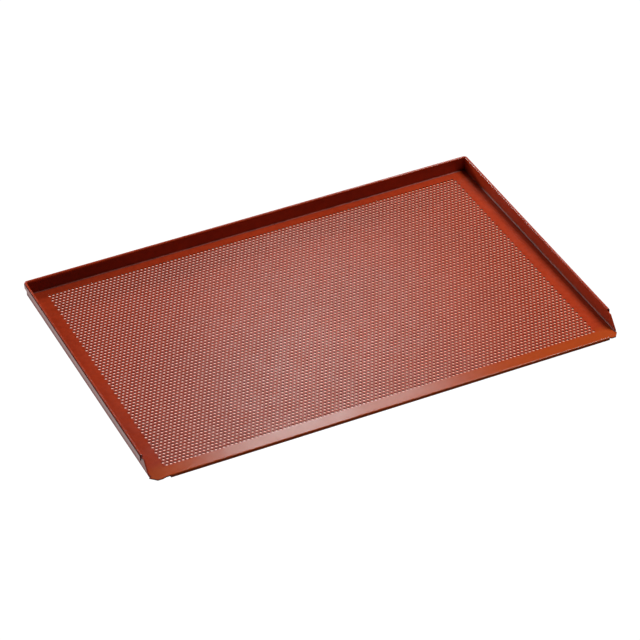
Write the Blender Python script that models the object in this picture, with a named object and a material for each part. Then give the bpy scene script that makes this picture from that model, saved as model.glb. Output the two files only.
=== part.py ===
"""Baguette tray: one perforated aluminium sheet folded into a floor and three hemmed walls, open at the front.

Metres, +Z up, X along the long side, the open front edge towards -Y. The origin is under the
middle of the tray, on the plane that the front hem stands on. The folded sheet is split into the
panels that its bends make, and neighbouring panels keep a narrow joint between them.
"""

import math

import bmesh
import bpy
from mathutils import Vector

# Driving dimensions.
WIDTH = 0.600
DEPTH = 0.400
SHEET = 0.0015
WALL_HEIGHT = 0.0189
BEND_RADIUS = 0.0015
RIM_THICKNESS = 0.0035
FRONT_HEM_THICKNESS = 0.0044
HEM_DEPTH = 0.0080
JOINT = 0.0003

# Where the rims, the walls and the hem stop near the open front.
TAB_REACH = 0.001
FRONT_HEM_LEFT = -0.274
FRONT_HEM_RIGHT = 0.285
WALL_TOP_SETBACK = 0.0250
WALL_FOOT_SETBACK = 0.0075
LEFT_RIM_SETBACK = 0.0275
RIGHT_RIM_SETBACK = 0.0295
LEFT_EAR_CHAMFER = 0.0075
RIGHT_EAR_CHAMFER = 0.0055
NOTCH_DEPTH = 0.0013
LEFT_TAB_END = -0.2840
RIGHT_TAB_END = 0.2870
LEFT_NOTCH_START = -0.2800
RIGHT_NOTCH_START = 0.2856

# Sizes that follow from them.
RIM_RADIUS = RIM_THICKNESS / 2
RIM_INNER_RADIUS = RIM_RADIUS - SHEET
FRONT_HEM_RADIUS = FRONT_HEM_THICKNESS / 2
FLOOR_TOP = FRONT_HEM_THICKNESS
FLOOR_UNDERSIDE = FLOOR_TOP - SHEET
RIM_TOP = FLOOR_TOP + WALL_HEIGHT
RIM_FOLD = RIM_TOP - RIM_RADIUS
INNER_HALF_WIDTH = WIDTH / 2 - RIM_THICKNESS
INNER_REAR = DEPTH / 2 - RIM_THICKNESS
BEND_START_X = INNER_HALF_WIDTH - BEND_RADIUS
BEND_START_Y = INNER_REAR - BEND_RADIUS
FRONT = -DEPTH / 2
HEM_FRONT = FRONT + TAB_REACH
HEM_BACK = HEM_FRONT + HEM_DEPTH
BEND_STEPS = 6
HEM_STEPS = 10
CORNER_STEPS = 8

COATING_COLOUR = (0.39, 0.038, 0.011, 1.0)
COATING_ROUGHNESS = 0.38


def clear_scene():
    for leftover in list(bpy.data.objects):
        bpy.data.objects.remove(leftover, do_unlink=True)


def new_collection(name):
    collection = bpy.data.collections.new(name)
    bpy.context.scene.collection.children.link(collection)
    return collection


def coating(part_name):
    """Silicone baked onto the sheet, so it is not metallic and only half glossy."""
    material = bpy.data.materials.new(part_name + "_coating")
    material.use_nodes = True
    shader = material.node_tree.nodes["Principled BSDF"]
    shader.inputs["Base Color"].default_value = COATING_COLOUR
    shader.inputs["Roughness"].default_value = COATING_ROUGHNESS
    shader.inputs["Metallic"].default_value = 0.0
    return material


def add_part(name, mesh, collection):
    part = bpy.data.objects.new(name, mesh)
    part.data.materials.append(coating(name))
    mesh.shade_smooth()
    mesh.set_sharp_from_angle(angle=math.radians(30))
    collection.objects.link(part)
    return part


def arc(centre, radius, start_degrees, end_degrees, steps):
    points = []
    for step in range(steps + 1):
        angle = math.radians(start_degrees + (end_degrees - start_degrees) * step / steps)
        across = centre[0] + radius * math.cos(angle)
        up = centre[1] + radius * math.sin(angle)
        points.append((across, up))
    return points


# Each section is drawn as (outward, up): outward from the wall's inner face, up from the origin.


def wall_section():
    """The bend at the floor's edge and the upright sheet above it."""
    centre = (-BEND_RADIUS, FLOOR_TOP + BEND_RADIUS)
    inner = arc(centre, BEND_RADIUS, -90, 0, BEND_STEPS)
    outer = arc(centre, BEND_RADIUS + SHEET, 0, -90, BEND_STEPS)
    top = RIM_FOLD - JOINT
    return inner + [(0.0, top), (SHEET, top)] + outer


def hem_section(foot):
    """The fold over the top of a wall and the strip that comes down outside it as far as foot."""
    centre = (RIM_RADIUS, RIM_FOLD)
    over = arc(centre, RIM_RADIUS, 180, 0, HEM_STEPS)
    back = arc(centre, RIM_INNER_RADIUS, 0, 180, HEM_STEPS)
    strip = [(RIM_THICKNESS, foot), (RIM_THICKNESS - SHEET, foot)]
    return over + strip + back


def corner_section():
    """Bend, wall and rim of a closed corner as one solid section, with no gap inside the rim."""
    centre = (-BEND_RADIUS, FLOOR_TOP + BEND_RADIUS)
    inner = arc(centre, BEND_RADIUS, -90, 0, BEND_STEPS)
    over = arc((RIM_RADIUS, RIM_FOLD), RIM_RADIUS, 180, 0, HEM_STEPS)
    foot = RIM_TOP - HEM_DEPTH
    outer = arc(centre, BEND_RADIUS + SHEET, 0, -90, BEND_STEPS)
    return inner + over + [(RIM_THICKNESS, foot), (SHEET, foot)] + outer


def front_hem_section():
    """The floor's front edge folded under itself, drawn as (y, z)."""
    centre = (HEM_FRONT + FRONT_HEM_RADIUS, FRONT_HEM_RADIUS)
    over = arc(centre, FRONT_HEM_RADIUS, 90, 270, HEM_STEPS)
    back = arc(centre, FRONT_HEM_RADIUS - SHEET, 270, 90, HEM_STEPS)
    lower_end = [(HEM_BACK, 0.0), (HEM_BACK, SHEET)]
    upper_end = [(HEM_BACK, FLOOR_UNDERSIDE), (HEM_BACK, FLOOR_TOP)]
    return over + lower_end + back + upper_end


def section_face(model, points):
    corners = [model.verts.new(point) for point in points]
    return model.faces.new(corners)


def finished_mesh(name, model):
    bmesh.ops.recalc_face_normals(model, faces=model.faces[:])
    mesh = bpy.data.meshes.new(name)
    model.to_mesh(mesh)
    model.free()
    return mesh


def swept(name, points, along, cuts=()):
    """A section swept along a straight line, then trimmed by planes given as (point, removed side)."""
    model = bmesh.new()
    face = section_face(model, points)
    sweep = bmesh.ops.extrude_face_region(model, geom=[face])
    far_end = [item for item in sweep["geom"] if isinstance(item, bmesh.types.BMVert)]
    bmesh.ops.translate(model, verts=far_end, vec=along)
    for point, removed_side in cuts:
        everything = model.verts[:] + model.edges[:] + model.faces[:]
        cut = bmesh.ops.bisect_plane(
            model, geom=everything, plane_co=point, plane_no=removed_side, clear_outer=True
        )
        rim = [item for item in cut["geom_cut"] if isinstance(item, bmesh.types.BMEdge)]
        bmesh.ops.edgeloop_fill(model, edges=rim)
    return finished_mesh(name, model)


def side_wall(name, side, collection):
    """A left (-1) or right (+1) wall, whose front end slopes back from the floor to the rim."""
    back_end = BEND_START_Y - JOINT
    points = [
        (side * (INNER_HALF_WIDTH + outward), FRONT, up) for outward, up in wall_section()
    ]
    foot = Vector((0.0, FRONT + WALL_FOOT_SETBACK, FLOOR_UNDERSIDE))
    top = Vector((0.0, FRONT + WALL_TOP_SETBACK, RIM_TOP))
    slope = top - foot
    removed_side = Vector((0.0, -slope.z, slope.y))
    mesh = swept(name, points, (0.0, back_end - FRONT, 0.0), [(foot, removed_side)])
    return add_part(name, mesh, collection)


def side_rim(name, side, setback, collection):
    front_end = FRONT + setback
    back_end = BEND_START_Y - JOINT
    section = hem_section(RIM_TOP - HEM_DEPTH)
    points = [(side * (INNER_HALF_WIDTH + outward), front_end, up) for outward, up in section]
    mesh = swept(name, points, (0.0, back_end - front_end, 0.0))
    return add_part(name, mesh, collection)


def rear_piece(name, section, collection):
    half_length = BEND_START_X - JOINT
    points = [(-half_length, INNER_REAR + outward, up) for outward, up in section]
    mesh = swept(name, points, (2 * half_length, 0.0, 0.0))
    return add_part(name, mesh, collection)


def front_hem(name, collection):
    points = [(FRONT_HEM_LEFT, across, up) for across, up in front_hem_section()]
    mesh = swept(name, points, (FRONT_HEM_RIGHT - FRONT_HEM_LEFT, 0.0, 0.0))
    return add_part(name, mesh, collection)


def corner_weld(name, side, collection):
    """The corner section turned a quarter circle about the upright axis where two bends meet."""
    axis = Vector((side * BEND_START_X, BEND_START_Y, 0.0))
    points = [
        axis + Vector((side * (BEND_RADIUS + outward), 0.0, up)) for outward, up in corner_section()
    ]
    model = bmesh.new()
    face = section_face(model, points)
    bmesh.ops.spin(
        model,
        geom=[face] + face.edges[:] + face.verts[:],
        cent=axis,
        axis=(0.0, 0.0, 1.0),
        angle=side * math.pi / 2,
        steps=CORNER_STEPS,
    )
    bmesh.ops.remove_doubles(model, verts=model.verts[:], dist=0.00001)
    open_edges = [edge for edge in model.edges if edge.is_boundary]
    bmesh.ops.holes_fill(model, edges=open_edges)
    mesh = finished_mesh(name, model)
    return add_part(name, mesh, collection)


def floor_outline():
    """The floor seen from above: square at the back, an ear and a relief notch at each front corner.

    Between the notches it stops behind the front hem, so that nothing lies under its underside.
    """
    edge_x = BEND_START_X - JOINT
    back = BEND_START_Y - JOINT
    ear_x = INNER_HALF_WIDTH + SHEET
    ear_back = FRONT + WALL_FOOT_SETBACK - JOINT
    notch = FRONT + NOTCH_DEPTH
    hem_joint = HEM_BACK + JOINT
    left = [
        (-edge_x, back),
        (-edge_x, ear_back),
        (-ear_x, ear_back),
        (LEFT_EAR_CHAMFER - ear_x, FRONT),
        (LEFT_TAB_END, FRONT),
        (LEFT_NOTCH_START, notch),
        (FRONT_HEM_LEFT - JOINT, notch),
        (FRONT_HEM_LEFT - JOINT, hem_joint),
    ]
    right = [
        (FRONT_HEM_RIGHT + JOINT, hem_joint),
        (FRONT_HEM_RIGHT + JOINT, notch),
        (RIGHT_NOTCH_START, notch),
        (RIGHT_TAB_END, FRONT),
        (ear_x - RIGHT_EAR_CHAMFER, FRONT),
        (ear_x, ear_back),
        (edge_x, ear_back),
        (edge_x, back),
    ]
    return left + right


def tray_floor(name, collection):
    outline = floor_outline()
    drawing = bpy.data.curves.new(name + "_outline", "CURVE")
    drawing.dimensions = "2D"
    drawing.fill_mode = "BOTH"
    drawing.extrude = SHEET / 2
    path = drawing.splines.new("POLY")
    path.points.add(len(outline) - 1)
    for point, (across, along) in zip(path.points, outline):
        point.co = (across, along, 0.0, 1.0)
    path.use_cyclic_u = True
    floor = bpy.data.objects.new(name, drawing)
    drawing.materials.append(coating(name))
    floor.location = (0.0, 0.0, (FLOOR_TOP + FLOOR_UNDERSIDE) / 2)
    collection.objects.link(floor)
    return floor


def build():
    clear_scene()
    tray = new_collection("baguette_tray")
    tray_floor("tray_floor", tray)
    for side_name, side, setback in (
        ("left", -1, LEFT_RIM_SETBACK),
        ("right", 1, RIGHT_RIM_SETBACK),
    ):
        side_wall(side_name + "_wall", side, tray)
        side_rim(side_name + "_rim_hem", side, setback, tray)
        corner_weld("rear_" + side_name + "_corner_weld", side, tray)
    rear_piece("rear_wall", wall_section(), tray)
    rear_piece("rear_rim_hem", hem_section(RIM_TOP - HEM_DEPTH), tray)
    front_hem("front_hem", tray)


build()
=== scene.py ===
"""Looks of the baguette tray: a folded sheet with a field of round holes and a silicone skin.

Every panel of the fold is its own closed mesh. Neighbouring panels meet inside flat stretches, so
that no seam shows. The outline comes from the boxes of the CAD nodes, and what a box doesn't show
is named below.
"""

import math

import bmesh
import bpy
import numpy as np
from mathutils import Euler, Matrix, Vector


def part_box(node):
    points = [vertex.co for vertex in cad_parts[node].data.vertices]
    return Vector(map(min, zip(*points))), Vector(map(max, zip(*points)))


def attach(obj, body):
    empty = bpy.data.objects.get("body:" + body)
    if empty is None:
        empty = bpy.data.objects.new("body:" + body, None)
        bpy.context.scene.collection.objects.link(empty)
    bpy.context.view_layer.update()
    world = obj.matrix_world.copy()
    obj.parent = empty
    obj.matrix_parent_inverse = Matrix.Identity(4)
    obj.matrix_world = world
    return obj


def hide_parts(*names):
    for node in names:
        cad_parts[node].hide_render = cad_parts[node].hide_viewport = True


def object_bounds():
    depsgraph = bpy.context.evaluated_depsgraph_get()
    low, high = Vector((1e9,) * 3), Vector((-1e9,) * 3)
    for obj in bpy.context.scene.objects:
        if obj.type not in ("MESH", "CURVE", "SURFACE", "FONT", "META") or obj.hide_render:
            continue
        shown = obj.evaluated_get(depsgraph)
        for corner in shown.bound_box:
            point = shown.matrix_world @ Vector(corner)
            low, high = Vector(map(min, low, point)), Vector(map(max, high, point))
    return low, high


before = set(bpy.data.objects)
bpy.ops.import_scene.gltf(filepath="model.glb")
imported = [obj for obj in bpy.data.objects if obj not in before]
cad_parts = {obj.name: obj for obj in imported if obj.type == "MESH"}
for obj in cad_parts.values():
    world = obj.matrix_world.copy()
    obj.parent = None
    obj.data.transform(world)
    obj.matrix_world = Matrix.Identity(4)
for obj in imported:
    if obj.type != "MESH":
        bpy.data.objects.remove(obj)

CAD_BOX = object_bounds()
BODY = "root"

# Sizes read from the frame.
LOWEST, HIGHEST = CAD_BOX
FLOOR_LOW, FLOOR_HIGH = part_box("tray_floor")
HEM_LOW, HEM_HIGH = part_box("rear_rim_hem")
FRONT_HEM_LOW, FRONT_HEM_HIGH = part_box("front_hem")
WALL_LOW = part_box("left_wall")[0]
LEFT_RIM_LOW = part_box("left_rim_hem")[0]
RIGHT_RIM_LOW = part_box("right_rim_hem")[0]
CORNER_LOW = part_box("rear_right_corner_weld")[0]

FRONT = LOWEST.y
REAR = HIGHEST.y
HALF_WIDTH = HIGHEST.x
RIM_TOP = HIGHEST.z
FLOOR_TOP = FLOOR_HIGH.z
FLOOR_UNDERSIDE = FLOOR_LOW.z
SHEET = FLOOR_TOP - FLOOR_UNDERSIDE
FRONT_HEM_RADIUS = (FLOOR_TOP - LOWEST.z) / 2
RIM_THICKNESS = HEM_HIGH.y - HEM_LOW.y
RIM_RADIUS = RIM_THICKNESS / 2
RIM_FOLD = RIM_TOP - RIM_RADIUS
RIM_FOOT = HEM_LOW.z
INNER_HALF_WIDTH = HALF_WIDTH - RIM_THICKNESS
INNER_REAR = REAR - RIM_THICKNESS
BEND_START_X = CORNER_LOW.x
BEND_START_Y = CORNER_LOW.y
BEND_RADIUS = INNER_HALF_WIDTH - BEND_START_X
HEM_FRONT = FRONT_HEM_LOW.y
FRONT_HEM_END = FRONT_HEM_HIGH.y
FRONT_HEM_LEFT = FRONT_HEM_LOW.x
FRONT_HEM_RIGHT = FRONT_HEM_HIGH.x
WALL_FOOT = WALL_LOW.y

# CAD sizes that no box shows: the slant of the wall ends, the ears and the relief notches.
WALL_TOP_SETBACK = 0.0250
LEFT_EAR_CHAMFER = 0.0075
RIGHT_EAR_CHAMFER = 0.0055
NOTCH_DEPTH = 0.0013
LEFT_TAB_END = -0.2840
RIGHT_TAB_END = 0.2870
LEFT_NOTCH_START = -0.2800
RIGHT_NOTCH_START = 0.2856

# Sizes that only the looks need.
LEAD_IN = 0.0015
EDGE_ROUND = 0.0003
FOLD_FLATNESS = 0.55
GUARD = 0.0002
SAME_POINT = 0.00001
SHARP_DEGREES = 32
BEND_STEPS = 10
HEM_STEPS = 14
INNER_HEM_STEPS = 6
EDGE_STEPS = 3
CORNER_STEPS = 18

# The perforation: rows along X, every second row shifted by half a pitch.
HOLE_RADIUS = 0.00175
HOLE_EDGE = 0.0001
HOLE_SIDES = 12
HOLES_IN_ROW = 110
ROWS = 72
BANDS = 6
PITCH_X = 0.0050
PITCH_Y = 0.005095
FIRST_HOLE_X = -0.27375
FIRST_ROW_Y = -0.1795
FIELD_LEFT = FIRST_HOLE_X - PITCH_X / 2
FIELD_RIGHT = FIELD_LEFT + PITCH_X * (HOLES_IN_ROW + 0.5)
FIELD_FRONT = FIRST_ROW_Y - PITCH_Y / 2
FIELD_REAR = FIELD_FRONT + PITCH_Y * ROWS


# Helpers for shapes.


def arc(centre, radius, start_degrees, end_degrees, steps):
    points = []
    for step in range(steps + 1):
        angle = math.radians(start_degrees + (end_degrees - start_degrees) * step / steps)
        across = centre[0] + radius * math.cos(angle)
        up = centre[1] + radius * math.sin(angle)
        points.append((across, up))
    return points


def finished_mesh(name, model):
    bmesh.ops.recalc_face_normals(model, faces=model.faces[:])
    mesh = bpy.data.meshes.new(name)
    model.to_mesh(mesh)
    model.free()
    mesh.shade_smooth()
    mesh.set_sharp_from_angle(angle=math.radians(SHARP_DEGREES))
    return mesh


def add_piece(name, mesh, material, nodes):
    piece = bpy.data.objects.new(name, mesh)
    mesh.materials.append(material)
    bpy.context.scene.collection.objects.link(piece)
    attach(piece, BODY)
    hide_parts(*nodes)
    return piece


def guarded(points):
    """The section with a point near each end of every flat stretch, so that only bends shade."""
    result = []
    for start, end in zip(points, points[1:] + points[:1]):
        start = Vector(start)
        stretch = Vector(end) - start
        result.append(start)
        if stretch.length > 4 * GUARD:
            step = GUARD * stretch.normalized()
            result.append(start + step)
            result.append(start + stretch - step)
    return result


def swept(name, points, along, cuts=()):
    """A closed section swept along a straight line, then trimmed by planes."""
    model = bmesh.new()
    corners = [model.verts.new(point) for point in guarded(points)]
    face = model.faces.new(corners)
    sweep = bmesh.ops.extrude_face_region(model, geom=[face])
    far_end = [item for item in sweep["geom"] if isinstance(item, bmesh.types.BMVert)]
    bmesh.ops.translate(model, verts=far_end, vec=along)
    for point, removed_side in cuts:
        everything = model.verts[:] + model.edges[:] + model.faces[:]
        cut = bmesh.ops.bisect_plane(
            model, geom=everything, plane_co=point, plane_no=removed_side, clear_outer=True
        )
        rim = [item for item in cut["geom_cut"] if isinstance(item, bmesh.types.BMEdge)]
        bmesh.ops.edgeloop_fill(model, edges=rim)
    return finished_mesh(name, model)


# Sections, drawn as (outward, up): outward from the wall's inner face, up from the origin.


def wall_section():
    """A flat lead-in on the floor, the bend, and the upright sheet up to just under the rim."""
    centre = (-BEND_RADIUS, FLOOR_TOP + BEND_RADIUS)
    inner = arc(centre, BEND_RADIUS, -90, 0, BEND_STEPS)
    outer = arc(centre, BEND_RADIUS + SHEET, 0, -90, BEND_STEPS)
    top = RIM_FOLD - LEAD_IN
    return inner + [(0.0, top), (SHEET, top)] + outer


def strip_edge(outer, inner, foot):
    """The rounded lower edge of a strip of sheet between two upright faces, from outer to inner."""
    outward = 1 if outer > inner else -1
    centre = (outer - outward * EDGE_ROUND, foot + EDGE_ROUND)
    first = arc(centre, EDGE_ROUND, 0, -90, EDGE_STEPS)
    centre = (inner + outward * EDGE_ROUND, foot + EDGE_ROUND)
    return first + arc(centre, EDGE_ROUND, -90, -180, EDGE_STEPS)


def hem_section(foot):
    """The top of the wall, the fold over it, and the strip outside it that comes down to foot."""
    centre = (RIM_RADIUS, RIM_FOLD)
    bottom = RIM_FOLD - LEAD_IN
    over = [(0.0, bottom)] + arc(centre, RIM_RADIUS, 180, 0, HEM_STEPS)
    edge = strip_edge(RIM_THICKNESS, RIM_THICKNESS - SHEET, foot)
    back = arc(centre, RIM_RADIUS - SHEET, 0, 180, INNER_HEM_STEPS) + [(SHEET, bottom)]
    return over + edge + back


def corner_section():
    """Bend, wall and rim of a closed corner as one solid section, with no gap inside the rim."""
    centre = (-BEND_RADIUS, FLOOR_TOP + BEND_RADIUS)
    inner = arc(centre, BEND_RADIUS, -90, 0, BEND_STEPS)
    over = arc((RIM_RADIUS, RIM_FOLD), RIM_RADIUS, 180, 0, HEM_STEPS)
    edge_centre = (RIM_THICKNESS - EDGE_ROUND, RIM_FOOT + EDGE_ROUND)
    outer_edge = arc(edge_centre, EDGE_ROUND, 0, -90, EDGE_STEPS)
    outer = arc(centre, BEND_RADIUS + SHEET, 0, -90, BEND_STEPS)
    return inner + over + outer_edge + [(SHEET, RIM_FOOT)] + outer


def front_hem_section():
    """The floor's front edge folded under itself, drawn as (y, z)."""
    centre = (HEM_FRONT + FRONT_HEM_RADIUS, FRONT_HEM_RADIUS)
    over = [(FRONT_HEM_END, FLOOR_TOP)]
    for across, up in arc(centre, FRONT_HEM_RADIUS, 90, 270, HEM_STEPS):
        over.append((HEM_FRONT + FOLD_FLATNESS * (across - HEM_FRONT), up))
    edge_centre = (FRONT_HEM_END - EDGE_ROUND, EDGE_ROUND)
    under_edge = arc(edge_centre, EDGE_ROUND, -90, 0, EDGE_STEPS)
    edge_centre = (FRONT_HEM_END - EDGE_ROUND, SHEET - EDGE_ROUND)
    upper_edge = arc(edge_centre, EDGE_ROUND, 0, 90, EDGE_STEPS)
    back = arc(centre, FRONT_HEM_RADIUS - SHEET, 270, 90, INNER_HEM_STEPS)
    return over + under_edge + upper_edge + back + [(FRONT_HEM_END, FLOOR_UNDERSIDE)]


# The folded sheet.


def side_wall(name, side, node, material):
    """A side wall, whose front end slopes back from the floor to the rim."""
    points = [
        (side * (INNER_HALF_WIDTH + outward), FRONT, up) for outward, up in wall_section()
    ]
    foot = Vector((0.0, WALL_FOOT, FLOOR_UNDERSIDE))
    top = Vector((0.0, FRONT + WALL_TOP_SETBACK, RIM_TOP))
    slope = top - foot
    removed_side = Vector((0.0, -slope.z, slope.y))
    mesh = swept(name, points, (0.0, BEND_START_Y - FRONT, 0.0), [(foot, removed_side)])
    return add_piece(name, mesh, material, [node])


def side_rim(name, side, front_end, node, material):
    points = [
        (side * (INNER_HALF_WIDTH + outward), front_end, up)
        for outward, up in hem_section(RIM_FOOT)
    ]
    mesh = swept(name, points, (0.0, BEND_START_Y - front_end, 0.0))
    return add_piece(name, mesh, material, [node])


def rear_piece(name, section, node, material):
    points = [(-BEND_START_X, INNER_REAR + outward, up) for outward, up in section]
    mesh = swept(name, points, (2 * BEND_START_X, 0.0, 0.0))
    return add_piece(name, mesh, material, [node])


def front_hem(name, material):
    points = [(FRONT_HEM_LEFT, across, up) for across, up in front_hem_section()]
    mesh = swept(name, points, (FRONT_HEM_RIGHT - FRONT_HEM_LEFT, 0.0, 0.0))
    return add_piece(name, mesh, material, ["front_hem"])


def corner(name, side, node, material):
    """The corner section turned a quarter circle about the upright axis where two bends meet."""
    axis = Vector((side * BEND_START_X, BEND_START_Y, 0.0))
    model = bmesh.new()
    corners = []
    for outward, up in guarded(corner_section()):
        corners.append(model.verts.new(axis + Vector((side * (BEND_RADIUS + outward), 0.0, up))))
    face = model.faces.new(corners)
    bmesh.ops.spin(
        model,
        geom=[face] + face.edges[:] + face.verts[:],
        cent=axis,
        axis=(0.0, 0.0, 1.0),
        angle=side * math.pi / 2,
        steps=CORNER_STEPS,
    )
    bmesh.ops.remove_doubles(model, verts=model.verts[:], dist=SAME_POINT)
    open_edges = [edge for edge in model.edges if edge.is_boundary]
    bmesh.ops.holes_fill(model, edges=open_edges)
    return add_piece(name, finished_mesh(name, model), material, [node])


# The floor.


def border_outline():
    """The floor's outline from above: an ear and a relief notch at each front corner."""
    ear_x = INNER_HALF_WIDTH + SHEET
    notch = FRONT + NOTCH_DEPTH
    hem_joint = FRONT_HEM_END
    left = [
        (-BEND_START_X, BEND_START_Y),
        (-BEND_START_X, WALL_FOOT),
        (-ear_x, WALL_FOOT),
        (LEFT_EAR_CHAMFER - ear_x, FRONT),
        (LEFT_TAB_END, FRONT),
        (LEFT_NOTCH_START, notch),
        (FRONT_HEM_LEFT, notch),
        (FRONT_HEM_LEFT, hem_joint),
    ]
    right = [
        (FRONT_HEM_RIGHT, hem_joint),
        (FRONT_HEM_RIGHT, notch),
        (RIGHT_NOTCH_START, notch),
        (RIGHT_TAB_END, FRONT),
        (ear_x - RIGHT_EAR_CHAMFER, FRONT),
        (ear_x, WALL_FOOT),
        (BEND_START_X, WALL_FOOT),
        (BEND_START_X, BEND_START_Y),
    ]
    return left + right


def add_outline(drawing, outline):
    path = drawing.splines.new("POLY")
    path.points.add(len(outline) - 1)
    for point, (across, along) in zip(path.points, outline):
        point.co = (across, along, 0.0, 1.0)
    path.use_cyclic_u = True


def floor_border(name, material):
    """The plain plate around the holes."""
    drawing = bpy.data.curves.new(name + "_outline", "CURVE")
    drawing.dimensions = "2D"
    drawing.fill_mode = "BOTH"
    drawing.extrude = SHEET / 2
    add_outline(drawing, border_outline())
    field = [
        (FIELD_LEFT, FIELD_FRONT),
        (FIELD_RIGHT, FIELD_FRONT),
        (FIELD_RIGHT, FIELD_REAR),
        (FIELD_LEFT, FIELD_REAR),
    ]
    add_outline(drawing, field)
    drawn = bpy.data.objects.new(name + "_outline", drawing)
    bpy.context.scene.collection.objects.link(drawn)
    bpy.context.view_layer.update()
    graph = bpy.context.evaluated_depsgraph_get()
    filled = bpy.data.meshes.new_from_object(drawn.evaluated_get(graph))
    bpy.data.objects.remove(drawn, do_unlink=True)
    model = bmesh.new()
    model.from_mesh(filled)
    bpy.data.meshes.remove(filled)
    bmesh.ops.remove_doubles(model, verts=model.verts[:], dist=SAME_POINT)
    middle = (FLOOR_TOP + FLOOR_UNDERSIDE) / 2
    bmesh.ops.translate(model, verts=model.verts[:], vec=(0.0, 0.0, middle))
    return add_piece(name, finished_mesh(name, model), material, ["tray_floor"])


def perforated_band(name, first_row, rows, material):
    """A closed band of whole rows of holes.

    Grid points lie half a pitch apart on the lines between rows. Each hole sits in a cell with
    three grid points on the line in front of it and three on the line behind it, and has four
    rings: where the flat top ends, the two ends of its wall, and where the flat underside ends.
    """
    columns = 2 * HOLES_IN_ROW + 2
    lines = rows + 1
    line_y = FIELD_FRONT + PITCH_Y * (first_row + np.arange(lines))
    column_x = FIELD_LEFT + PITCH_X / 2 * np.arange(columns)
    grid_x, grid_y = np.meshgrid(column_x, line_y)
    flat = np.stack([grid_x.ravel(), grid_y.ravel()], axis=1)
    grid_size = len(flat)

    row, hole = np.divmod(np.arange(rows * HOLES_IN_ROW), HOLES_IN_ROW)
    shift = (row + first_row + 1) % 2
    centre_x = FIRST_HOLE_X + PITCH_X * (hole + shift / 2)
    centre_y = FIRST_ROW_Y + PITCH_Y * (first_row + row)
    turn = 2 * math.pi * np.arange(HOLE_SIDES) / HOLE_SIDES
    spoke = np.stack([np.cos(turn), np.sin(turn)], axis=1)
    centres = np.stack([centre_x, centre_y], axis=1)[:, None, :]

    rings = [
        (HOLE_RADIUS + HOLE_EDGE, FLOOR_TOP),
        (HOLE_RADIUS, FLOOR_TOP - HOLE_EDGE),
        (HOLE_RADIUS, FLOOR_UNDERSIDE + HOLE_EDGE),
        (HOLE_RADIUS + HOLE_EDGE, FLOOR_UNDERSIDE),
    ]
    points = [
        np.column_stack([flat, np.full(grid_size, FLOOR_TOP)]),
        np.column_stack([flat, np.full(grid_size, FLOOR_UNDERSIDE)]),
    ]
    normals = [
        np.tile((0.0, 0.0, 1.0), (grid_size, 1)),
        np.tile((0.0, 0.0, -1.0), (grid_size, 1)),
    ]
    inward = np.column_stack([-spoke, np.zeros(HOLE_SIDES)])
    ring_normals = [
        np.tile((0.0, 0.0, 1.0), (HOLE_SIDES, 1)),
        inward,
        inward,
        np.tile((0.0, 0.0, -1.0), (HOLE_SIDES, 1)),
    ]
    for (radius, height), around in zip(rings, ring_normals):
        ring = (centres + radius * spoke).reshape(-1, 2)
        points.append(np.column_stack([ring, np.full(len(ring), height)]))
        normals.append(np.tile(around, (len(centres), 1)))
    points = np.concatenate(points)
    normals = np.concatenate(normals)

    # Corners of each hole's cell, counted anticlockwise from the one at the rear right.
    near = row * columns + 2 * hole + shift
    far = near + columns
    cell = np.stack([far + 2, far + 1, far, near, near + 1, near + 2], axis=1)
    ring_size = len(row) * HOLE_SIDES
    ring_start = 2 * grid_size + HOLE_SIDES * np.arange(len(row))[:, None]
    ring_index = ring_start + np.arange(HOLE_SIDES)
    faces = []
    for corner_index in range(6):
        a = cell[:, corner_index]
        b = cell[:, (corner_index + 1) % 6]
        first = ring_index[:, 2 * corner_index]
        second = ring_index[:, 2 * corner_index + 1]
        third = ring_index[:, (2 * corner_index + 2) % HOLE_SIDES]
        for one, two, three in ((a, second, first), (a, third, second), (a, b, third)):
            faces.append(np.stack([one, two, three], axis=1))
            below = 3 * ring_size
            lower = []
            for index in (three, two, one):
                lower.append(np.where(index < grid_size, index + grid_size, index + below))
            faces.append(np.stack(lower, axis=1))
    triangles = np.concatenate(faces)

    quads = []
    following = np.roll(ring_index, -1, axis=1)
    for level in range(3):
        upper = level * ring_size
        lower = upper + ring_size
        band = [ring_index + upper, following + upper, following + lower, ring_index + lower]
        quads.append(np.stack(band, axis=2).reshape(-1, 4))
    # The half cell that a row leaves at one end.
    line = np.arange(rows)
    row_shift = (line + first_row + 1) % 2
    end = line * columns + np.where(row_shift == 1, 0, columns - 2)
    filler = np.stack([end, end + 1, end + 1 + columns, end + columns], axis=1)
    quads.append(filler)
    quads.append(filler[:, ::-1] + grid_size)
    # The band's own four sides.
    step = np.arange(columns - 1)
    last = rows * columns
    quads.append(side_quads(step + 1, step, grid_size))
    quads.append(side_quads(step + last, step + 1 + last, grid_size))
    quads.append(side_quads(line * columns, (line + 1) * columns, grid_size))
    right = columns - 1
    quads.append(side_quads((line + 1) * columns + right, line * columns + right, grid_size))
    quads = np.concatenate(quads)

    mesh = bpy.data.meshes.new(name)
    mesh.from_pydata(points.tolist(), [], triangles.tolist() + quads.tolist())
    mesh.shade_smooth()
    mesh.normals_split_custom_set_from_vertices(normals.tolist())
    return add_piece(name, mesh, material, ["tray_floor"])


def side_quads(start, end, below):
    """Upright faces that join the top grid to the underside grid along one side."""
    return np.stack([start, end, end + below, start + below], axis=1)


# Materials.


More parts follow.
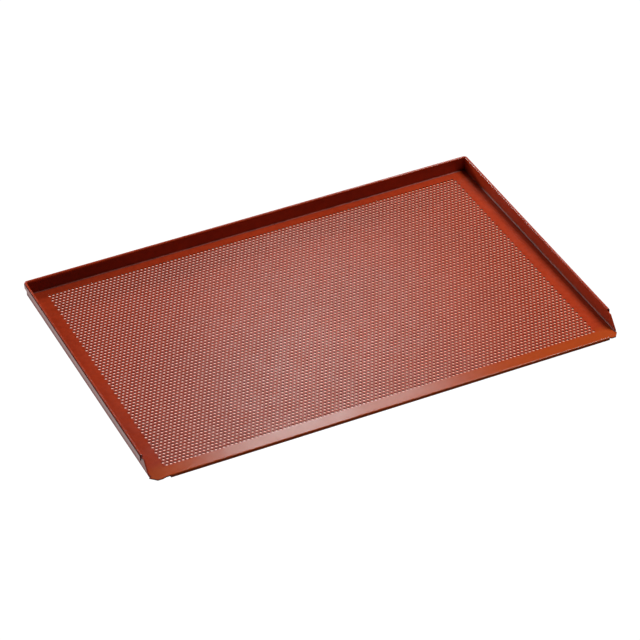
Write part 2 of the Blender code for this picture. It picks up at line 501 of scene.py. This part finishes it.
# Colours of the silicone, of the paper and of the lights.
DARK_TONE = (0.375, 0.0340, 0.0085)
LIGHT_TONE = (0.458, 0.0450, 0.0120)
MOTTLE_DARK = (0.345, 0.0300, 0.0075)
MOTTLE_LIGHT = (0.480, 0.0490, 0.0130)
SPECK_TONE = (0.480, 0.085, 0.050)
WORN_TONE = (0.520, 0.130, 0.085)
# Painted sheen: a paler, more orange tone that stands in for light reflecting along the front.
PAINTED_SHEEN_TONE = (0.500, 0.082, 0.010)
# A dark tone for painted shade, and for the darker foot of the walls and corners.
DARKENING_TONE = (0.120, 0.0090, 0.0040)
PAPER_TONE = (0.30, 0.30, 0.30)
# Painted shade on the paper under the field, tinted warm, from left to right.
UNDER_TRAY_SHADE_LEFT = (1.00, 0.56, 0.48)
UNDER_TRAY_SHADE_RIGHT = (0.98, 0.46, 0.32)
WHITE = (1.0, 1.0, 1.0)
COOL = (0.72, 0.96, 1.0)

# Windows in which a mark grows from nothing to its full depth: an axis, and where each of the
# two is reached. Several windows together keep a mark to where they overlap.
# Painted sheen along the front border and the front hem.
FRONT_SHEEN_STRIP = [("Y", FRONT + 0.030, FRONT + 0.012)]
# Painted shade in the rear left corner, on the border and on the walls there.
REAR_LEFT_SHADE = [("X", -0.10, -0.27), ("Y", 0.170, 0.188)]
# Painted shade that darkens the left half of the field of holes.
FIELD_LEFT_SHADE = [("X", -0.02, -0.22)]
# Painted shade on the walls of the holes and on the sheet's cut edges.
SHEET_EDGE_SHADE = [
    ("Z", FLOOR_TOP - 0.00006, FLOOR_TOP - 0.00035),
    ("Z", FLOOR_UNDERSIDE + 0.00006, FLOOR_UNDERSIDE + 0.0002),
]
# Darker and rougher towards the foot of the walls and of the corners.
WALL_BEND = [("Z", FLOOR_TOP + 0.004, FLOOR_TOP)]
CORNER_BEND = [("Z", FLOOR_TOP + 0.006, FLOOR_TOP)]
# Painted shade: a dark line along the fold on the outer face of the left rim.
LEFT_FOLD_SHADE = [
    ("X", LOWEST.x + 0.0010, LOWEST.x + 0.0006),
    ("Z", RIM_FOLD - 0.0018, RIM_FOLD - 0.0004),
]
RIM_CREST = [("Z", RIM_TOP - 0.0009, RIM_TOP)]
LIP = [("Y", HEM_FRONT + 0.0015, HEM_FRONT)]
GLOSS_BLEND = 0.003
RIM_GLOSS = 0.5
WITHIN_FIELD = [
    ("X", FIELD_LEFT, FIELD_LEFT + GLOSS_BLEND),
    ("X", FIELD_RIGHT, FIELD_RIGHT - GLOSS_BLEND),
    ("Y", FIELD_FRONT, FIELD_FRONT + GLOSS_BLEND),
    ("Y", FIELD_REAR, FIELD_REAR - GLOSS_BLEND),
]
# Painted shade on the paper: the window under the field where it is tinted.
UNDER_FIELD_SHADE = [
    ("X", FIELD_LEFT - 0.003, FIELD_LEFT - 0.001),
    ("X", FIELD_RIGHT + 0.006, FIELD_RIGHT + 0.004),
    ("Y", FIELD_FRONT - 0.003, FIELD_FRONT - 0.001),
    ("Y", FIELD_REAR + 0.008, FIELD_REAR + 0.006),
]
BESIDE_TRAY = [("X", -0.295, -0.305), ("X", -0.328, -0.315)]

# How strong the marks are, and the two layers of bumps.
PAINTED_SHEEN_DEPTH = 0.6
WEAR_LOW = 0.05
WEAR_HIGH = 0.4
DARKENING_ROUGHNESS = 0.22
PEEL_HEIGHT = 0.0001
GRAIN_STRENGTH = 0.15
GRAIN_HEIGHT = 0.00005


class Nodes:
    """Short ways to add nodes to one material; every texture is placed by object coordinates."""

    def __init__(self, name):
        self.material = bpy.data.materials.new(name)
        self.material.use_nodes = True
        self.tree = self.material.node_tree
        self.shader = self.tree.nodes["Principled BSDF"]
        self.place = self.tree.nodes.new("ShaderNodeTexCoord").outputs["Object"]
        split = self.tree.nodes.new("ShaderNodeSeparateXYZ")
        self.join(self.place, split.inputs["Vector"])
        self.axes = split.outputs

    def join(self, source, target):
        self.tree.links.new(source, target)

    def feed(self, socket, value):
        if isinstance(value, (int, float)):
            socket.default_value = value
        elif isinstance(value, tuple):
            socket.default_value = (*value, 1.0)
        else:
            self.join(value, socket)

    def noise(self, scale, detail, roughness=0.5):
        node = self.tree.nodes.new("ShaderNodeTexNoise")
        node.inputs["Scale"].default_value = scale
        node.inputs["Detail"].default_value = detail
        node.inputs["Roughness"].default_value = roughness
        self.join(self.place, node.inputs["Vector"])
        return node.outputs["Fac"]

    def span(self, value, start, end, low=0.0, high=1.0):
        """A smooth step from low to high while the value goes from start to end."""
        node = self.tree.nodes.new("ShaderNodeMapRange")
        node.interpolation_type = "SMOOTHSTEP"
        node.inputs["From Min"].default_value = start
        node.inputs["From Max"].default_value = end
        node.inputs["To Min"].default_value = low
        node.inputs["To Max"].default_value = high
        self.join(value, node.inputs["Value"])
        return node.outputs["Result"]

    def calculate(self, operation, first, second):
        node = self.tree.nodes.new("ShaderNodeMath")
        node.operation = operation
        self.feed(node.inputs[0], first)
        self.feed(node.inputs[1], second)
        return node.outputs["Value"]

    def times(self, first, second):
        return self.calculate("MULTIPLY", first, second)

    def plus(self, first, second):
        return self.calculate("ADD", first, second)

    def within(self, windows, depth=1.0):
        """The given depth inside all the windows, and nothing outside any of them."""
        for axis, start, end in windows:
            depth = self.times(self.span(self.axes[axis], start, end), depth)
        return depth

    def mix(self, factor, first, second):
        node = self.tree.nodes.new("ShaderNodeMix")
        node.data_type = "RGBA"
        self.feed(node.inputs["Factor"], factor)
        self.feed(node.inputs["A"], first)
        self.feed(node.inputs["B"], second)
        return node.outputs["Result"]

    def choose(self, factor, first, second):
        node = self.tree.nodes.new("ShaderNodeMixShader")
        self.join(factor, node.inputs["Fac"])
        self.join(first, node.inputs[1])
        self.join(second, node.inputs[2])
        return node.outputs["Shader"]

    def bump(self, height, strength, distance, below=None):
        node = self.tree.nodes.new("ShaderNodeBump")
        node.inputs["Strength"].default_value = strength
        node.inputs["Distance"].default_value = distance
        self.join(height, node.inputs["Height"])
        if below:
            self.join(below, node.inputs["Normal"])
        return node.outputs["Normal"]


def silicone(
    name,
    gloss,
    peel,
    specular=0.5,
    painted_sheen=(),
    shade=(),
    shade_depth=0.0,
    darkening=(),
    darkening_low=0.25,
    darkening_high=0.8,
    wear=(),
    glossy_rim=False,
):
    """Baked silicone: uneven terracotta with specks and an orange-peel skin.

    Gloss is the least and the greatest roughness. Painted sheen, shade, darkening and wear are
    windows for four marks: a paler, more orange strip of painted sheen, an even dark band of
    painted shade, an uneven dark mark that is also rougher, and bare patches along a fold. The
    uneven mark is painted shade on cut edges and hole walls, and a darker, rougher foot on walls
    and corners. With a glossy rim, the skin is smoother next to the field's edge.
    """
    nodes = Nodes(name)
    shader = nodes.shader
    shader.inputs["Metallic"].default_value = 0.0
    shader.inputs["IOR"].default_value = 1.45
    shader.inputs["Specular IOR Level"].default_value = specular

    tone = nodes.mix(nodes.span(nodes.noise(9.0, 3.0), 0.30, 0.70), DARK_TONE, LIGHT_TONE)
    mottling = nodes.span(nodes.noise(170.0, 4.0), 0.32, 0.68)
    mottle = nodes.mix(mottling, MOTTLE_DARK, MOTTLE_LIGHT)
    colour = nodes.mix(0.40, tone, mottle)
    specks = nodes.span(nodes.noise(1500.0, 2.0), 0.64, 0.74)
    colour = nodes.mix(specks, colour, SPECK_TONE)
    # Painted sheen: a paler, more orange strip in place of light reflecting there.
    if painted_sheen:
        colour = nodes.mix(nodes.within(painted_sheen, PAINTED_SHEEN_DEPTH), colour, PAINTED_SHEEN_TONE)
    # Painted shade: an even dark band inside the given windows.
    if shade:
        colour = nodes.mix(nodes.within(shade, shade_depth), colour, DARKENING_TONE)
    # Uneven dark marks that are also rougher: painted shade on cut edges and hole walls, and a
    # darker foot on walls and corners.
    if darkening:
        darkened = nodes.within(darkening)
        uneven = nodes.span(nodes.noise(60.0, 4.0, 0.6), 0.35, 0.65, darkening_low, darkening_high)
        colour = nodes.mix(nodes.times(darkened, uneven), colour, DARKENING_TONE)
    if wear:
        uneven = nodes.span(nodes.noise(90.0, 5.0, 0.65), 0.45, 0.70, WEAR_LOW, WEAR_HIGH)
        colour = nodes.mix(nodes.times(nodes.within(wear), uneven), colour, WORN_TONE)
    nodes.join(colour, shader.inputs["Base Color"])

    low, high = gloss
    roughness = nodes.span(nodes.noise(45.0, 5.0), 0.30, 0.70, low, high)
    if darkening:
        roughness = nodes.plus(roughness, nodes.times(darkened, DARKENING_ROUGHNESS))
    if glossy_rim:
        inside = nodes.within(WITHIN_FIELD)
        roughness = nodes.times(roughness, nodes.span(inside, 0.0, 1.0, RIM_GLOSS, 1.0))
    nodes.join(roughness, shader.inputs["Roughness"])

    skin = nodes.bump(nodes.noise(420.0, 2.0), peel, PEEL_HEIGHT)
    grain = nodes.bump(nodes.noise(2600.0, 2.0), GRAIN_STRENGTH, GRAIN_HEIGHT, skin)
    nodes.join(grain, shader.inputs["Normal"])
    return nodes.material


# Surroundings.


PAPER_GLOW = 1.05
PAPER_HALF_WIDTH = 8.0
PAPER_GAP = 0.0005
WORLD_STRENGTH = 0.006
LENS = 169.06
CAMERA_PLACE = (-1.16356, -2.64217, 2.12944)
CAMERA_DEGREES = (53.51255, 1.63067, -25.00012)
CENTRE = (0.0, 0.0, 0.0)
BEHIND = (0.311, 0.718, 0.623)
BEHIND_AND_RIGHT = (0.33, 0.71, 0.62)


def floor_material():
    """White paper that glows to the camera, with painted shade, warmer and dimmer, under the
    field where the holes show it.

    Reflections see it only as a strip along the left of the tray, and for all other rays it is
    plain grey paper.
    """
    nodes = Nodes("white_paper")
    nodes.shader.inputs["Base Color"].default_value = (*PAPER_TONE, 1.0)
    nodes.shader.inputs["Roughness"].default_value = 0.7
    glow = nodes.tree.nodes.new("ShaderNodeEmission")
    glow.inputs["Strength"].default_value = PAPER_GLOW
    # Painted shade under the field, warmer and dimmer, going from the left tint to the right one.
    under_tray_shade = nodes.mix(nodes.span(nodes.axes["X"], -0.25, 0.30), UNDER_TRAY_SHADE_LEFT, UNDER_TRAY_SHADE_RIGHT)
    nodes.join(nodes.mix(nodes.within(UNDER_FIELD_SHADE), WHITE, under_tray_shade), glow.inputs["Color"])
    mirrored = nodes.tree.nodes.new("ShaderNodeEmission")
    along = nodes.span(nodes.axes["Y"], 0.25, -0.20, 0.87, 0.98)
    nodes.join(nodes.within(BESIDE_TRAY, along), mirrored.inputs["Strength"])
    path = nodes.tree.nodes.new("ShaderNodeLightPath")
    paper = nodes.shader.outputs["BSDF"]
    lit = nodes.choose(path.outputs["Is Glossy Ray"], paper, mirrored.outputs["Emission"])
    seen = nodes.choose(path.outputs["Is Camera Ray"], lit, glow.outputs["Emission"])
    output = nodes.tree.nodes["Material Output"]
    nodes.join(seen, output.inputs["Surface"])
    return nodes.material


def paper_floor():
    model = bmesh.new()
    bmesh.ops.create_grid(model, x_segments=2, y_segments=2, size=PAPER_HALF_WIDTH)
    mesh = bpy.data.meshes.new("paper_floor")
    model.to_mesh(mesh)
    model.free()
    mesh.materials.append(floor_material())
    paper = bpy.data.objects.new("paper_floor", mesh)
    paper.location = (0.0, 0.0, LOWEST.z - PAPER_GAP)
    bpy.context.scene.collection.objects.link(paper)


def softbox(name, aim, direction, distance, size, power, tint=WHITE):
    """A rectangular light that faces a point of the tray from the given direction."""
    lamp = bpy.data.lights.new(name, "AREA")
    lamp.shape = "RECTANGLE"
    lamp.size, lamp.size_y = size
    lamp.energy = power
    lamp.color = tint
    lamp_object = bpy.data.objects.new(name, lamp)
    towards = Vector(direction).normalized()
    lamp_object.location = Vector(aim) + distance * towards
    lamp_object.rotation_euler = towards.to_track_quat("Z", "Y").to_euler()
    bpy.context.scene.collection.objects.link(lamp_object)


def studio():
    world = bpy.data.worlds.new("studio")
    bpy.context.scene.world = world
    world.use_nodes = True
    background = world.node_tree.nodes["Background"]
    background.inputs["Color"].default_value = (*WHITE, 1.0)
    background.inputs["Strength"].default_value = WORLD_STRENGTH
    softbox("main_softbox", CENTRE, (0.55, 0.05, 0.83), 2.6, (1.0, 1.0), 57.5)
    softbox("left_softbox", CENTRE, (-0.85, 0.30, 0.42), 1.8, (0.6, 0.6), 3.3)
    softbox("low_softbox", (0.3, 0.2, 0.0), (-0.56, 0.79, 0.28), 1.8, (0.4, 0.15), 15.5)
    softbox("rear_softbox", (-0.153, -0.200, 0.0), BEHIND, 1.8, (0.23, 0.14), 0.92, COOL)
    softbox("rear_fill", (0.0, -0.01, 0.0), BEHIND_AND_RIGHT, 1.8, (0.36, 0.16), 1.9, COOL)


def camera():
    lens = bpy.data.cameras.new("camera")
    lens.sensor_width = 36.0
    lens.lens = LENS
    viewer = bpy.data.objects.new("camera", lens)
    viewer.location = CAMERA_PLACE
    viewer.rotation_euler = Euler([math.radians(angle) for angle in CAMERA_DEGREES])
    bpy.context.scene.collection.objects.link(viewer)
    bpy.context.scene.camera = viewer


def build():
    border_finish = silicone(
        "border_silicone",
        gloss=(0.16, 0.20),
        peel=0.15,
        # Painted sheen along the front of the border.
        painted_sheen=FRONT_SHEEN_STRIP,
        # Painted shade in the rear left corner of the border.
        shade=REAR_LEFT_SHADE,
        shade_depth=0.42,
        # Painted shade on the border's cut edges.
        darkening=SHEET_EDGE_SHADE,
        darkening_low=0.75,
        darkening_high=1.0,
    )
    field_finish = silicone(
        "field_silicone",
        gloss=(0.285, 0.335),
        peel=0.30,
        # Painted shade over the left half of the field.
        shade=FIELD_LEFT_SHADE,
        shade_depth=0.12,
        # Painted shade on the walls of the holes.
        darkening=SHEET_EDGE_SHADE,
        darkening_low=0.75,
        darkening_high=1.0,
        glossy_rim=True,
    )
    wall_finish = silicone(
        "wall_silicone",
        gloss=(0.28, 0.33),
        peel=0.20,
        # Painted shade at the rear left end of the walls.
        shade=REAR_LEFT_SHADE,
        shade_depth=0.60,
        darkening=WALL_BEND,
    )
    hem_finish = silicone(
        "hem_silicone",
        gloss=(0.18, 0.22),
        peel=0.12,
        specular=0.45,
        # Painted shade along the fold of the left rim.
        shade=LEFT_FOLD_SHADE,
        shade_depth=0.75,
        wear=RIM_CREST,
    )
    lip_finish = silicone(
        "lip_silicone",
        gloss=(0.16, 0.20),
        peel=0.15,
        # Painted sheen over the front hem.
        painted_sheen=FRONT_SHEEN_STRIP,
        wear=LIP,
    )
    weld_finish = silicone(
        "weld_silicone",
        gloss=(0.30, 0.38),
        peel=0.50,
        darkening=CORNER_BEND,
    )
    floor_border("floor_border", border_finish)
    rows = ROWS // BANDS
    for band in range(BANDS):
        perforated_band(f"perforated_band_{band + 1}", band * rows, rows, field_finish)
    for side_name, side, rim_start in (
        ("left", -1, LEFT_RIM_LOW.y),
        ("right", 1, RIGHT_RIM_LOW.y),
    ):
        side_wall(side_name + "_wall_panel", side, side_name + "_wall", wall_finish)
        side_rim(side_name + "_rim_fold", side, rim_start, side_name + "_rim_hem", hem_finish)
        node = "rear_" + side_name + "_corner_weld"
        corner("rear_" + side_name + "_corner", side, node, weld_finish)
    rear_piece("rear_wall_panel", wall_section(), "rear_wall", wall_finish)
    rear_piece("rear_rim_fold", hem_section(RIM_FOOT), "rear_rim_hem", hem_finish)
    front_hem("front_edge_fold", lip_finish)


bpy.context.scene.view_settings.view_transform = "Standard"
camera()
studio()
paper_floor()
build()
